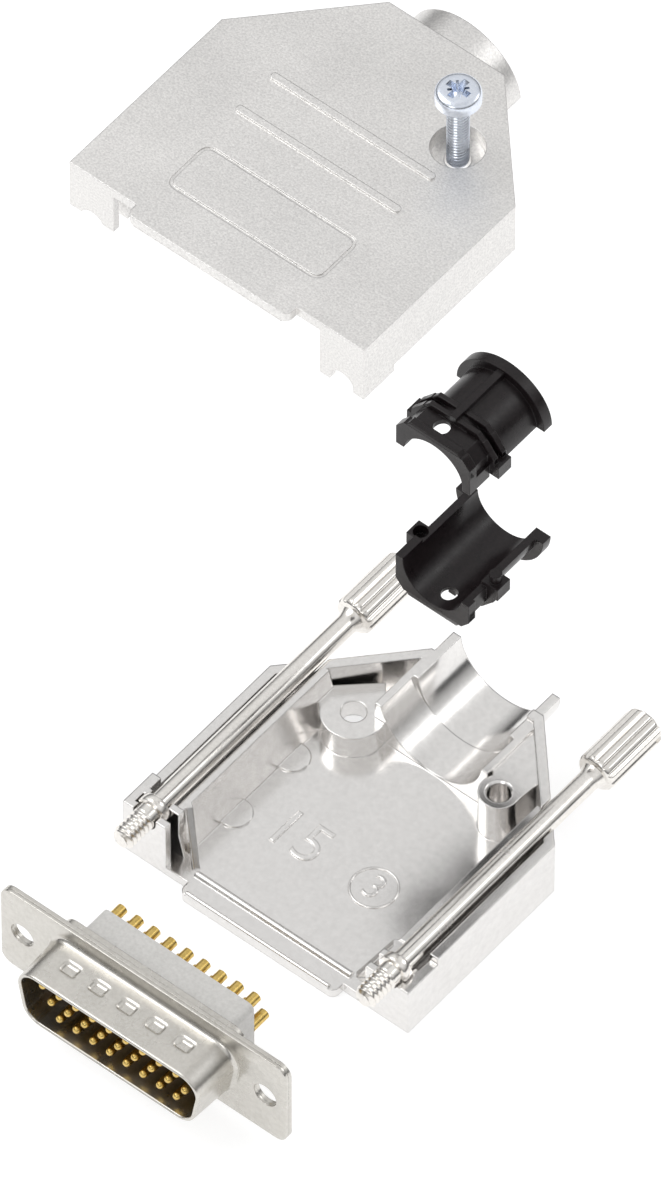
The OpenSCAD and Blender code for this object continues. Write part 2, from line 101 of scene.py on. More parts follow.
class NodeBench:
    """Adds and wires the nodes of one tree; on a group it also holds the two end nodes' sockets."""

    inlet: bpy.types.NodeOutputs
    outlet: bpy.types.NodeInputs

    def __init__(self, tree: bpy.types.NodeTree) -> None:
        """Keep the tree that the nodes go into."""
        self.tree = tree

    def add(self, kind: str, settings: dict[str, object] | None = None, **inputs: object) -> bpy.types.Node:
        """Add a node.

        Args:
            kind: the node's type name.
            settings: attributes set on the node.
            **inputs: values for its input sockets, with spaces written as underscores.

        Returns:
            The new node.
        """
        node = self.tree.nodes.new(kind)
        for name, value in (settings or {}).items():
            setattr(node, name, value)
        for name, value in inputs.items():
            node.inputs[name.replace("_", " ")].default_value = value
        return node

    def wire(self, source: bpy.types.NodeSocket, target: bpy.types.NodeSocket) -> None:
        """Link one output socket to one input socket."""
        self.tree.links.new(source, target)


def open_group(name: str, tree_type: str, inputs: Sequence[tuple], outputs: Sequence[tuple]) -> NodeBench:
    """Start a node group with named sockets.

    Args:
        name: the group's name.
        tree_type: "ShaderNodeTree" or "GeometryNodeTree".
        inputs: (name, socket type, default or None) for each input.
        outputs: (name, socket type) for each output.

    Returns:
        A bench on the new group, with its input and output nodes placed.
    """
    tree = bpy.data.node_groups.new(name, tree_type)
    for label, kind, default in inputs:
        socket = tree.interface.new_socket(label, in_out="INPUT", socket_type=kind)
        if default is not None:
            socket.default_value = default
    for label, kind in outputs:
        tree.interface.new_socket(label, in_out="OUTPUT", socket_type=kind)
    bench = NodeBench(tree)
    bench.inlet = tree.nodes.new("NodeGroupInput").outputs
    bench.outlet = tree.nodes.new("NodeGroupOutput").inputs
    return bench


class SharedGroups:
    """Shader groups that several finishes use, each built once."""

    def __init__(self) -> None:
        """Build the grain and the turning group."""
        self.grain = self._grain()
        self.turning = self._turning()

    def _grain(self) -> bpy.types.NodeTree:
        """Fine and broad mottling of a cast or plated surface.

        Returns:
            A group with the outputs Fine, Broad and Height, each from 0 to 1.
        """
        bench = open_group(
            "surface_grain", "ShaderNodeTree",
            [("Vector", "NodeSocketVector", None), ("Fine Scale", "NodeSocketFloat", 4000.0),
             ("Broad Scale", "NodeSocketFloat", 150.0), ("Mix", "NodeSocketFloat", 0.5)],
            [("Fine", "NodeSocketFloat"), ("Broad", "NodeSocketFloat"), ("Height", "NodeSocketFloat")])
        fine = bench.add("ShaderNodeTexNoise", Detail=3.0, Roughness=0.65)
        broad = bench.add("ShaderNodeTexNoise", Detail=4.0, Roughness=0.55)
        for node, scale in ((fine, "Fine Scale"), (broad, "Broad Scale")):
            bench.wire(bench.inlet["Vector"], node.inputs["Vector"])
            bench.wire(bench.inlet[scale], node.inputs["Scale"])
        spread = [bench.add("ShaderNodeMapRange", From_Min=NOISE_LOW, From_Max=NOISE_HIGH) for _ in range(2)]
        bench.wire(fine.outputs["Fac"], spread[0].inputs["Value"])
        bench.wire(broad.outputs["Fac"], spread[1].inputs["Value"])
        height = bench.add("ShaderNodeMix", {"data_type": "FLOAT"})
        bench.wire(bench.inlet["Mix"], height.inputs[0])
        bench.wire(spread[1].outputs[0], height.inputs[2])
        bench.wire(spread[0].outputs[0], height.inputs[3])
        bench.wire(spread[0].outputs[0], bench.outlet["Fine"])
        bench.wire(spread[1].outputs[0], bench.outlet["Broad"])
        bench.wire(height.outputs[0], bench.outlet["Height"])
        return bench.tree

    def _turning(self) -> bpy.types.NodeTree:
        """Fine rings left by turning about the Y axis.

        Returns:
            A group with the output Height, from 0 to 1.
        """
        bench = open_group(
            "turning_marks", "ShaderNodeTree",
            [("Vector", "NodeSocketVector", None), ("Rings", "NodeSocketFloat", 9000.0)],
            [("Height", "NodeSocketFloat")])
        squeeze = bench.add("ShaderNodeVectorMath", {"operation": "MULTIPLY"})
        squeeze.inputs[1].default_value = (RING_STRETCH, 1.0, RING_STRETCH)
        bench.wire(bench.inlet["Vector"], squeeze.inputs[0])
        noise = bench.add("ShaderNodeTexNoise", Detail=2.0)
        bench.wire(squeeze.outputs[0], noise.inputs["Vector"])
        bench.wire(bench.inlet["Rings"], noise.inputs["Scale"])
        bench.wire(noise.outputs["Fac"], bench.outlet["Height"])
        return bench.tree


# ---------- Finishes ----------


@dataclass(frozen=True)
class Finish:
    """One surface finish, as its material is built from it."""

    name: str
    light: tuple[float, float, float]
    dark: tuple[float, float, float]
    metallic: float
    rough_low: float
    rough_high: float
    fine_scale: float = 4000.0
    broad_scale: float = 150.0
    relief: float = 0.004 * MM
    relief_mix: float = 0.6
    rounding: float = 0.0
    coat: float = 0.0
    coat_rough: float = 0.12
    specular: float = 0.5
    turned: bool = False

    def build(self, groups: SharedGroups) -> bpy.types.Material:
        """Build the material.

        Args:
            groups: the shared shader groups.

        Returns:
            The finished material.
        """
        material = bpy.data.materials.new(self.name)
        material.use_nodes = True
        material.node_tree.nodes.clear()
        bench = NodeBench(material.node_tree)
        place = bench.add("ShaderNodeTexCoord").outputs["Object"]
        grain = bench.add("ShaderNodeGroup", {"node_tree": groups.grain}, Fine_Scale=self.fine_scale,
                          Broad_Scale=self.broad_scale, Mix=self.relief_mix)
        bench.wire(place, grain.inputs["Vector"])
        rough = bench.add("ShaderNodeMapRange", To_Min=self.rough_low, To_Max=self.rough_high)
        bench.wire(grain.outputs["Broad"], rough.inputs["Value"])
        shader = bench.add("ShaderNodeBsdfPrincipled", Metallic=self.metallic,
                           Specular_IOR_Level=self.specular, Coat_Weight=self.coat)
        if self.coat > 0.0:
            shader.inputs["Coat Roughness"].default_value = self.coat_rough
        bench.wire(self._colour(bench, grain), shader.inputs["Base Color"])
        bench.wire(rough.outputs[0], shader.inputs["Roughness"])
        bench.wire(self._normal(bench, grain, place, groups), shader.inputs["Normal"])
        result = bench.add("ShaderNodeOutputMaterial")
        bench.wire(shader.outputs[0], result.inputs["Surface"])
        return material

    def _colour(self, bench: NodeBench, grain: bpy.types.Node) -> bpy.types.NodeSocket:
        """Mix the dark and the light colour by the grain.

        Args:
            bench: the material's bench.
            grain: the grain group's node.

        Returns:
            The socket that gives the colour.
        """
        blend = bench.add("ShaderNodeMath", {"operation": "MULTIPLY_ADD"})
        blend.inputs[1].default_value = FINE_SHARE
        scaled = bench.add("ShaderNodeMath", {"operation": "MULTIPLY"})
        scaled.inputs[1].default_value = 1.0 - FINE_SHARE
        bench.wire(grain.outputs["Broad"], scaled.inputs[0])
        bench.wire(grain.outputs["Fine"], blend.inputs[0])
        bench.wire(scaled.outputs[0], blend.inputs[2])
        colour = bench.add("ShaderNodeMix", {"data_type": "RGBA"})
        colour.inputs[6].default_value = (*self.dark, 1.0)
        colour.inputs[7].default_value = (*self.light, 1.0)
        bench.wire(blend.outputs[0], colour.inputs[0])
        return colour.outputs[2]

    def _normal(self, bench: NodeBench, grain: bpy.types.Node, place: bpy.types.NodeSocket,
                groups: SharedGroups) -> bpy.types.NodeSocket:
        """Relief of the grain or of turned rings, over edges rounded for the light.

        Args:
            bench: the material's bench.
            grain: the grain group's node.
            place: the socket that gives the object's coordinates.
            groups: the shared shader groups.

        Returns:
            The socket that gives the normal.
        """
        bump = bench.add("ShaderNodeBump", Strength=1.0, Distance=self.relief)
        height = grain.outputs["Height"]
        if self.turned:
            rings = bench.add("ShaderNodeGroup", {"node_tree": groups.turning})
            bench.wire(place, rings.inputs["Vector"])
            height = rings.outputs["Height"]
        bench.wire(height, bump.inputs["Height"])
        if self.rounding > 0.0:
            bevel = bench.add("ShaderNodeBevel", {"samples": 6}, Radius=self.rounding)
            bench.wire(bevel.outputs[0], bump.inputs["Normal"])
        return bump.outputs[0]


SATIN_ZINC = Finish("satin_cast_zinc", (0.92, 0.905, 0.885), (0.62, 0.61, 0.60), 1.0, 0.34, 0.42,
                    fine_scale=4200.0, broad_scale=90.0, relief=0.012 * MM, relief_mix=0.85,
                    rounding=0.16 * MM)
BRIGHT_NICKEL = Finish("bright_nickel_casting", (0.84, 0.825, 0.81), (0.76, 0.745, 0.73), 1.0, 0.16, 0.22,
                       fine_scale=1400.0, broad_scale=260.0, relief=0.0014 * MM, relief_mix=0.35,
                       rounding=0.26 * MM)
TURNED_NICKEL = Finish("turned_nickel", (0.90, 0.875, 0.84), (0.80, 0.77, 0.73), 1.0, 0.18, 0.28,
                       fine_scale=2500.0, broad_scale=300.0, relief=0.0008 * MM, turned=True)
BLUE_ZINC = Finish("bluish_zinc", (0.84, 0.88, 0.95), (0.68, 0.73, 0.83), 1.0, 0.2, 0.32,
                   fine_scale=2600.0, broad_scale=500.0, relief=0.002 * MM)
BLACK_MOULDING = Finish("black_moulding", (0.016, 0.011, 0.012), (0.005, 0.0035, 0.004), 0.0, 0.24, 0.40,
                        fine_scale=3000.0, broad_scale=400.0, relief=0.004 * MM, rounding=0.14 * MM,
                        specular=0.34)
PRESSED_STEEL = Finish("tinned_steel", (0.68, 0.66, 0.62), (0.57, 0.55, 0.51), 1.0, 0.22, 0.34,
                       fine_scale=2000.0, broad_scale=160.0, relief=0.0015 * MM, rounding=0.08 * MM)
BROWN_INSULATOR = Finish("brown_insulator", (0.10, 0.075, 0.055), (0.05, 0.038, 0.03), 0.0, 0.30, 0.45,
                         fine_scale=1500.0, broad_scale=300.0, relief=0.004 * MM, coat=0.2)
PALE_INSULATOR = Finish("pale_insulator", (0.66, 0.65, 0.63), (0.54, 0.53, 0.51), 0.0, 0.35, 0.5,
                        fine_scale=2500.0, broad_scale=300.0, relief=0.004 * MM)
GOLD_PLATE = Finish("gold_plate", (0.80, 0.58, 0.20), (0.56, 0.39, 0.11), 1.0, 0.2, 0.32,
                    fine_scale=2500.0, broad_scale=900.0, relief=0.001 * MM)


# ---------- Mesh helpers ----------


def link(mesh: bpy.types.Mesh, name: str) -> bpy.types.Object:
    """Put a mesh into the scene.

    Args:
        mesh: the mesh.
        name: the object's name.

    Returns:
        The new object.
    """
    thing = bpy.data.objects.new(name, mesh)
    bpy.context.scene.collection.objects.link(thing)
    return thing


def mesh_from(verts: Sequence, faces: Sequence, name: str, smooth: float = 35.0) -> bpy.types.Object:
    """Make a smooth-shaded object, with edges sharper than an angle kept sharp.

    Args:
        verts: corner positions in metres.
        faces: corner indices of each face.
        name: the object's name.
        smooth: angle in degrees above which an edge stays sharp.

    Returns:
        The new object.
    """
    mesh = bpy.data.meshes.new(name)
    mesh.from_pydata([tuple(v) for v in verts], [], [tuple(f) for f in faces])
    tidy_mesh(mesh, smooth)
    return link(mesh, name)


def tidy_mesh(mesh: bpy.types.Mesh, smooth: float) -> None:
    """Merge doubles, turn the faces outwards and mark sharp edges.

    Args:
        mesh: the mesh to tidy.
        smooth: angle in degrees above which an edge stays sharp.
    """
    work = bmesh.new()
    work.from_mesh(mesh)
    bmesh.ops.remove_doubles(work, verts=work.verts, dist=1e-7)
    bmesh.ops.recalc_face_normals(work, faces=work.faces)
    limit = math.radians(smooth)
    for face in work.faces:
        face.smooth = True
    for edge in work.edges:
        edge.smooth = len(edge.link_faces) == 2 and edge.calc_face_angle(0.0) < limit
    work.to_mesh(mesh)
    work.free()


def bake_modifiers(thing: bpy.types.Object, smooth: float = 35.0) -> bpy.types.Object:
    """Turn an object with live modifiers, or a curve or text, into a plain mesh object.

    Args:
        thing: the object to evaluate; it is removed.
        smooth: angle in degrees above which an edge stays sharp.

    Returns:
        The plain object, with the same name.
    """
    name = thing.name
    graph = bpy.context.evaluated_depsgraph_get()
    mesh = bpy.data.meshes.new_from_object(thing.evaluated_get(graph))
    bpy.data.objects.remove(thing)
    tidy_mesh(mesh, smooth)
    return link(mesh, name)


def dress(thing: bpy.types.Object, material: bpy.types.Material) -> bpy.types.Object:
    """Give an object one material and no other.

    Args:
        thing: the object.
        material: the material.

    Returns:
        The same object.
    """
    thing.data.materials.clear()
    thing.data.materials.append(material)
    return thing


def arc(centre: tuple[float, float], radius: float, start: float, end: float, steps: int) -> Outline:
    """Points along an arc.

    Args:
        centre: the arc's centre.
        radius: its radius.
        start: the first point's angle in degrees.
        end: the last point's angle.
        steps: how many steps lie between them.

    Returns:
        The points, in order.
    """
    turns = [math.radians(start + (end - start) * i / steps) for i in range(steps + 1)]
    return [(centre[0] + radius * math.cos(a), centre[1] + radius * math.sin(a)) for a in turns]


def circle(centre: tuple[float, float], radius: float, sides: int) -> Outline:
    """Points round a whole circle, none of them twice."""
    return arc(centre, radius, 0, 360 - 360 / sides, sides - 1)


def rounded_outline(half_x: float, half_z: float, radius: float, steps: int = 8) -> Outline:
    """Anticlockwise outline of a rounded rectangle about the origin.

    Args:
        half_x: half its width.
        half_z: half its height.
        radius: the corners' radius.
        steps: steps in each corner.

    Returns:
        The outline.
    """
    x, z = half_x - radius, half_z - radius
    return (arc((x, -z), radius, -90, 0, steps) + arc((x, z), radius, 0, 90, steps)
            + arc((-x, z), radius, 90, 180, steps) + arc((-x, -z), radius, 180, 270, steps))


def tube_faces(rings: int, around: int) -> list[tuple[int, ...]]:
    """Four-sided faces between rings of corners that follow one another.

    Args:
        rings: how many rings there are.
        around: how many corners each has.

    Returns:
        The faces, as corner indices.
    """
    faces: list[tuple[int, ...]] = []
    for i in range(rings - 1):
        for k in range(around):
            a, b = i * around + k, i * around + (k + 1) % around
            faces.append((a, b, b + around, a + around))
    return faces


def close_ring(verts: list, faces: list, ring: int, around: int, hub: Sequence[float]) -> None:
    """Close one ring of corners with a fan.

    Args:
        verts: the corners, to which the hub is added.
        faces: the faces, to which the fan is added.
        ring: the ring's index.
        around: how many corners it has.
        hub: the fan's middle.
    """
    middle = len(verts)
    verts.append(hub)
    faces += [(ring * around + k, ring * around + (k + 1) % around, middle) for k in range(around)]


def thread_dip(turns: float) -> float:
    """Depth of a thread's groove.

    Args:
        turns: place along the helix, in whole pitches.

    Returns:
        The share of the full depth, from 0 on the crest to 1 in the root.
    """
    crest = 1.0 - abs(2.0 * (turns % 1.0) - 1.0)
    return 1.0 - min(1.0, max(0.0, (crest - ROOT_FLAT) * FLANK_RISE))


def radial_surface(stations: Sequence[float], radius: Callable[[float, float], float], around: int,
                   x: float, z: float, name: str) -> bpy.types.Object:
    """A closed solid about an axis parallel to Y, whose radius varies along and around it.

    Args:
        stations: places along Y, in order.
        radius: radius at (place along Y, angle in radians).
        around: number of points round the axis.
        x: the axis's place across.
        z: the axis's height.
        name: the object's name.

    Returns:
        The new object.
    """
    verts: list[tuple[float, float, float]] = []
    for y in stations:
        for k in range(around):
            turn = 2 * math.pi * k / around
            r = radius(y, turn)
            verts.append((x + r * math.cos(turn), y, z + r * math.sin(turn)))
    faces = tube_faces(len(stations), around)
    for ring, y in ((0, stations[0]), (len(stations) - 1, stations[-1])):
        close_ring(verts, faces, ring, around, (x, y, z))
    return mesh_from(verts, faces, name, 50.0)


def carve(thing: bpy.types.Object, cutter: bpy.types.Object) -> bpy.types.Object:
    """Cut one object's volume out of another, and remove the cutter.

    Args:
        thing: the object to cut.
        cutter: the closed object that cuts it.

    Returns:
        The cut object.
    """
    cut = thing.modifiers.new("cut", "BOOLEAN")
    cut.operation, cut.solver, cut.object = "DIFFERENCE", "EXACT", cutter
    carved = bake_modifiers(thing, 40.0)
    bpy.data.objects.remove(cutter)
    return carved


def box_mesh(low: Sequence[float], high: Sequence[float], name: str) -> bpy.types.Object:
    """A plain box between two corners, for cutting with.

    Args:
        low: the low corner.
        high: the high corner.
        name: the object's name.

    Returns:
        The box.
    """
    corners = [(x, y, z) for x in (low[0], high[0]) for y in (low[1], high[1]) for z in (low[2], high[2])]
    faces = [(0, 1, 3, 2), (4, 6, 7, 5), (0, 4, 5, 1), (2, 3, 7, 6), (0, 2, 6, 4), (1, 5, 7, 3)]
    return mesh_from(corners, faces, name)


def stations_between(marks: Sequence[tuple[float, float]]) -> list[float]:
    """Places along a line, set out stretch by stretch.

    Args:
        marks: the first pair's place is the start; each later pair gives a stretch's end and its step.

    Returns:
        The places, in order, without repeats.
    """
    places = [marks[0][0]]
    for end, step in marks[1:]:
        start = places[-1]
        count = max(1, round((end - start) / step))
        places += [start + (end - start) * (i + 1) / count for i in range(count)]
    return places


def resample(points: Outline, count: int) -> Outline:
    """Points at even steps round a closed outline.

    Args:
        points: the outline's corners, in order.
        count: how many points to place.

    Returns:
        The new points.
    """
    loop = points + [points[0]]
    lengths = [math.dist(a, b) for a, b in zip(loop, loop[1:])]
    total, out, k, gone = sum(lengths), [], 0, 0.0
    for i in range(count):
        want = total * i / count
        while gone + lengths[k] < want:
            gone += lengths[k]
            k += 1
        part = (want - gone) / lengths[k] if lengths[k] > 0 else 0.0
        out.append((loop[k][0] + (loop[k + 1][0] - loop[k][0]) * part,
                    loop[k][1] + (loop[k + 1][1] - loop[k][1]) * part))
    return out


def plate_from_outlines(outlines: Sequence[Outline], thickness: float, edge: float,
                        name: str) -> bpy.types.Object:
    """A flat plate in the XZ plane about Y = 0, from an outer outline and its holes.

    Args:
        outlines: the outer outline, then the holes.
        thickness: the plate's thickness.
        edge: radius of its rounded edges.
        name: the object's name.

    Returns:
        The plate as a mesh.
    """
    curve = bpy.data.curves.new(name, "CURVE")
    curve.dimensions, curve.fill_mode = "2D", "BOTH"
    curve.extrude, curve.bevel_depth, curve.bevel_resolution = thickness / 2 - edge, edge, 2
    curve.offset = -edge
    for outline in outlines:
        spline = curve.splines.new("POLY")
        spline.points.add(len(outline) - 1)
        for point, (x, z) in zip(spline.points, outline):
            point.co = (x, z, 0, 1)
        spline.use_cyclic_u = True
    plate = bpy.data.objects.new(name, curve)
    bpy.context.scene.collection.objects.link(plate)
    plate = bake_modifiers(plate)
    for vertex in plate.data.vertices:
        x, z, y = vertex.co
        vertex.co = (x, -y, z)
    tidy_mesh(plate.data, 35.0)
    return plate


def join(parts: Sequence[bpy.types.Object], name: str) -> bpy.types.Object:
    """Join several plain meshes into one object, and remove the parts.

    Args:
        parts: the objects to join.
        name: the new object's name.

    Returns:
        The joined object.
    """
    work = bmesh.new()
    for part in parts:
        work.from_mesh(part.data)
        bpy.data.objects.remove(part)
    mesh = bpy.data.meshes.new(name)
    work.to_mesh(mesh)
    work.free()
    return link(mesh, name)


# ---------- Sub-assemblies ----------


@dataclass
class Castings:
    """The two zinc castings, with the raised marks on the lower one's floor."""

    nodes: dict[str, bpy.types.Object]
    shell: bpy.types.Material
    cover: bpy.types.Material
    floor_z: float = 1.2 * MM
    mark_height: float = 0.16 * MM
    mark_size: float = 7.4 * MM
    digit_share: float = 0.62
    stroke_bevel: float = 0.08 * MM
    stroke_thinning: float = 0.1 * MM
    number_at: tuple[float, float] = (-5.5 * MM, 12.1 * MM)
    digit_at: tuple[float, float] = (5.1 * MM, 12.0 * MM)
    ring_radius: float = 2.65 * MM
    ring_tube: float = 0.16 * MM
    ring_around: int = 72
    ring_across: int = 12

    def build(self) -> list[bpy.types.Object]:
        """Dress both castings and add the marks.

        Returns:
            The added pieces.
        """
        dress(self.nodes["lower_shell"], self.shell)
        dress(self.nodes["cover"], self.cover)
        marks = [self._number("15", self.number_at, self.mark_size, "floor_number"),
                 self._number("3", self.digit_at, self.mark_size * self.digit_share, "floor_digit"),
                 self._ring()]
        for mark in marks:
            dress(mark, self.shell)
            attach(mark, "lower_shell")
        return marks

    def _number(self, words: str, place: tuple[float, float], size: float, name: str) -> bpy.types.Object:
        """Raised digits on the floor.

        Args:
            words: the digits.
            place: middle of the digits in plan.
            size: height of the type.
            name: the piece's name.

        Returns:
            The digits as one mesh.
        """
        curve = bpy.data.curves.new(name, "FONT")
        curve.body, curve.size = words, size
        curve.align_x, curve.align_y = "CENTER", "CENTER"
        curve.extrude, curve.bevel_depth, curve.bevel_resolution = self.mark_height / 2, self.stroke_bevel, 2
        curve.offset = -self.stroke_thinning
        text = bpy.data.objects.new(name, curve)
        bpy.context.scene.collection.objects.link(text)
        digits = bake_modifiers(text)
        digits.data.transform(Matrix.Translation((*place, self.floor_z)))
        return digits

    def _ring(self) -> bpy.types.Object:
        """The raised circle round the single digit.

        Returns:
            The circle as one mesh.
        """
        around, across = self.ring_around, self.ring_across
        verts = []
        for i in range(around):
            turn = 2 * math.pi * i / around
            for k in range(across):
                dip = 2 * math.pi * k / across
                r = self.ring_radius + self.ring_tube * math.cos(dip)
                verts.append((self.digit_at[0] + r * math.cos(turn), self.digit_at[1] + r * math.sin(turn),
                              self.floor_z + self.ring_tube * math.sin(dip)))
        faces = [(i * across + k, i * across + (k + 1) % across,
                  (i + 1) % around * across + (k + 1) % across, (i + 1) % around * across + k)
                 for i in range(around) for k in range(across)]
        return mesh_from(verts, faces, "floor_ring")


@dataclass
class Thumbscrew:
    """One captive thumbscrew: thread, retaining collar, shaft and fluted knob."""

    node: str
    material: bpy.types.Material
    pitch: float = 0.635 * MM
    thread_depth: float = 0.24 * MM
    thread_r: float = 1.40 * MM
    root_r: float = 0.75 * MM
    thread_end: float = 0.75 * MM
    run_out_at: float = -0.1 * MM
    run_out: float = 0.4 * MM
    lead_in: float = 0.45 * MM
    shaft_r: float = 1.275 * MM
    collar_r: float = 1.85 * MM
    collar_start: float = 1.0 * MM
    collar_end: float = 2.15 * MM
    collar_edge: float = 0.12 * MM
    collar_slope: float = 0.7
    neck: float = 1.2 * MM
    knob_start: float = 34.8 * MM
    knob_r: float = 2.4 * MM
    front_corner: float = 0.75 * MM
    end_corner: float = 0.6 * MM
    flutes: int = 12
    flute_depth: float = 0.27 * MM
    flute_sharpness: float = 3.0
    slot_width: float = 0.8 * MM
    slot_depth: float = 1.1 * MM
    around: int = 144
    tip: float = field(init=False)
    end: float = field(init=False)

    def build(self) -> bpy.types.Object:
        """Make the screw and let it stand for its solid.

        Returns:
            The finished piece.
        """
        low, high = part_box(self.node)
        self.tip, self.end = low.y, high.y
        x, z = (low.x + high.x) / 2, (low.z + high.z) / 2
        places = stations_between([
            (self.tip, 0), (self.thread_end, 0.05 * MM), (self.collar_start, 0.1 * MM),
            (self.collar_start + self.collar_edge, 0.03 * MM), (self.collar_end - self.collar_edge, 0.4 * MM),
            (self.collar_end, 0.03 * MM), (self.knob_start - 1.5 * MM, 6 * MM),
            (self.knob_start + 0.8 * MM, 0.07 * MM), (self.end - 0.7 * MM, 1.2 * MM), (self.end, 0.05 * MM)])
        screw = radial_surface(places, self._radius, self.around, x, z, f"{self.node}_turned")
        slot = box_mesh((x - 4 * MM, self.end - self.slot_depth, z - self.slot_width / 2),
                        (x + 4 * MM, self.end + 1 * MM, z + self.slot_width / 2), "slot_cutter")
        screw = dress(carve(screw, slot), self.material)
        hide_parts(self.node)
        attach(screw, self.node)
        return screw

    def _radius(self, y: float, turn: float) -> float:
        """Radius of the screw.

        Args:
            y: place along the screw.
            turn: angle round it in radians.

        Returns:
            The radius there.
        """
        if y < self.collar_start:
            return self._thread(y, turn)
        if y < self.collar_end:
            edge = min(y - self.collar_start, self.collar_end - y)
            return self.collar_r - max(0.0, self.collar_edge - edge) * self.collar_slope
        if y < self.knob_start - self.neck:
            return self.shaft_r
        return self._knob(y, turn)

    def _thread(self, y: float, turn: float) -> float:
        """Radius within the threaded end, which runs out before the collar.

        Args:
            y: place along the screw.
            turn: angle round it in radians.

        Returns:
            The radius there.
        """
        fade = min(1.0, max(0.0, (self.run_out_at - y) / self.run_out))
        lead = max(0.0, self.lead_in - (y - self.tip)) * LEAD_SLOPE
        cut = self.thread_depth * thread_dip(y / self.pitch + turn / (2 * math.pi)) * fade
        return max(self.thread_r - cut - lead, self.root_r)

    def _knob(self, y: float, turn: float) -> float:
        """Radius within the knob: cone fillet, rounded shoulders and flutes.

        Args:
            y: place along the screw.
            turn: angle round it in radians.

        Returns:
            The radius there.
        """
        if y < self.knob_start:
            rise = (y - self.knob_start + self.neck) / self.neck
            return self.shaft_r + (self.knob_r - self.front_corner - self.shaft_r) * rise * rise
        inset = (self._corner(y - self.knob_start, self.front_corner)
                 + self._corner(self.end - y, self.end_corner))
        wave = 0.5 + 0.5 * math.cos(self.flutes * turn)
        return self.knob_r - max(inset, self.flute_depth * wave ** self.flute_sharpness)

    @staticmethod
    def _corner(depth: float, radius: float) -> float:
        """How far a rounded corner draws in.

        Args:
            depth: distance from the end face.
            radius: the corner's radius.

        Returns:
            The inset there.
        """
        if depth >= radius:
            return 0.0
        return radius - math.sqrt(max(0.0, radius ** 2 - (radius - depth) ** 2))


@dataclass
class CoverScrew:
    """The pan-head screw that closes the hood, drawn part way out."""

    material: bpy.types.Material
    pitch: float = 0.45 * MM
    thread_depth: float = 0.14 * MM
    run_out: float = 0.6 * MM
    lead_in: float = 0.35 * MM
    shank_r: float = 1.225 * MM
    head_height: float = 1.78 * MM
    head_r: float = 2.5 * MM
    head_edge: float = 0.12 * MM
    head_rim: float = 0.75 * MM
    underside_share: float = 0.9
    dome_share: float = 0.86
    dome_power: float = 2.6
    dome_steps: int = 8
    recess_r: float = 1.6 * MM
    recess_width: float = 0.74 * MM
    recess_depth: float = 1.15 * MM
    tick_width: float = 0.3 * MM
    tick_share: float = 0.82
    around: int = 72
    x: float = field(init=False)
    y: float = field(init=False)
    tip: float = field(init=False)
    top: float = field(init=False)

    def build(self) -> bpy.types.Object:
        """Make the screw and let it stand for its solid.

        Returns:
            The finished piece.
        """
        low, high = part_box("cover_screw")
        self.x, self.y = (low.x + high.x) / 2, (low.y + high.y) / 2
        self.tip, self.top = low.z, high.z
        screw = self._body()
        wings = ((0.0, self.recess_width, self.recess_r),
                 (45.0, self.tick_width, self.recess_r * self.tick_share))
        for quarter in (0.0, 90.0):
            for angle, width, reach in wings:
                screw = carve(screw, self._recess_wing(quarter + angle, width, reach))
        dress(screw, self.material)
        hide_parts("cover_screw")
        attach(screw, "cover_screw")
        return screw

    def _body(self) -> bpy.types.Object:
        """Shank with its thread, and the domed head, as one turned solid.

        Returns:
            The solid, before its recess is cut.
        """
        seat = self.top - self.head_height
        rim = seat + self.head_rim
        heights = stations_between([(self.tip, 0), (seat - 0.4 * MM, 0.05 * MM), (seat, 0.1 * MM)])
        rings: list[tuple[float, float | None]] = [(z, None) for z in heights]
        rings += [(seat, self.head_r * self.underside_share), (seat + self.head_edge, self.head_r),
                  (rim, self.head_r)]
        for i in range(1, self.dome_steps + 1):
            lift = i / self.dome_steps
            rings.append((rim + (self.head_height - self.head_rim) * math.sin(lift * math.pi / 2),
                          self.head_r * math.sqrt(max(0.0, 1 - (lift * self.dome_share) ** self.dome_power))))
        verts = []
        for z, fixed in rings:
            for k in range(self.around):
                turn = 2 * math.pi * k / self.around
                r = self._thread(z, turn, seat) if fixed is None else fixed
                verts.append((self.x + r * math.cos(turn), self.y + r * math.sin(turn), z))
        faces = tube_faces(len(rings), self.around)
        for ring, z in ((0, rings[0][0]), (len(rings) - 1, self.top)):
            close_ring(verts, faces, ring, self.around, (self.x, self.y, z))
        return mesh_from(verts, faces, "cover_screw_turned", 40.0)

    def _thread(self, z: float, turn: float, seat: float) -> float:
        """Radius of the shank.

        Args:
            z: height on the screw.
            turn: angle round it in radians.
            seat: height of the head's underside.

        Returns:
            The radius there.
        """
        fade = min(1.0, max(0.0, (seat - z) / self.run_out))
        lead = max(0.0, self.lead_in - (z - self.tip)) * LEAD_SLOPE
        cut = self.thread_depth * thread_dip(z / self.pitch - turn / (2 * math.pi)) * fade
        return self.shank_r - cut - lead

    def _recess_wing(self, angle: float, width: float, reach: float) -> bpy.types.Object:
        """One tapered pair of wings of the driving recess.

        Args:
            angle: the pair's direction in degrees.
            width: the wings' nominal width.
            reach: how far they reach from the axis.

        Returns:
            The cutter.
        """
        bottom, rise = self.top - self.recess_depth, self.top + 0.3 * MM
        turn = math.radians(angle)
        ahead = Vector((math.cos(turn), math.sin(turn), 0))
        side = Vector((-math.sin(turn), math.cos(turn), 0))
        verts = []
        for z, length, half in ((bottom, reach * 0.4, width * 0.3), (rise, reach, width * 0.56)):
            for s, t in ((-1, -1), (1, -1), (1, 1), (-1, 1)):
                verts.append(Vector((self.x, self.y, z)) + ahead * s * length + side * t * half)
        faces = [(3, 2, 1, 0), (4, 5, 6, 7)]
        faces += [(i, (i + 1) % 4, (i + 1) % 4 + 4, i + 4) for i in range(4)]
        return mesh_from(verts, faces, f"recess_{int(angle)}")


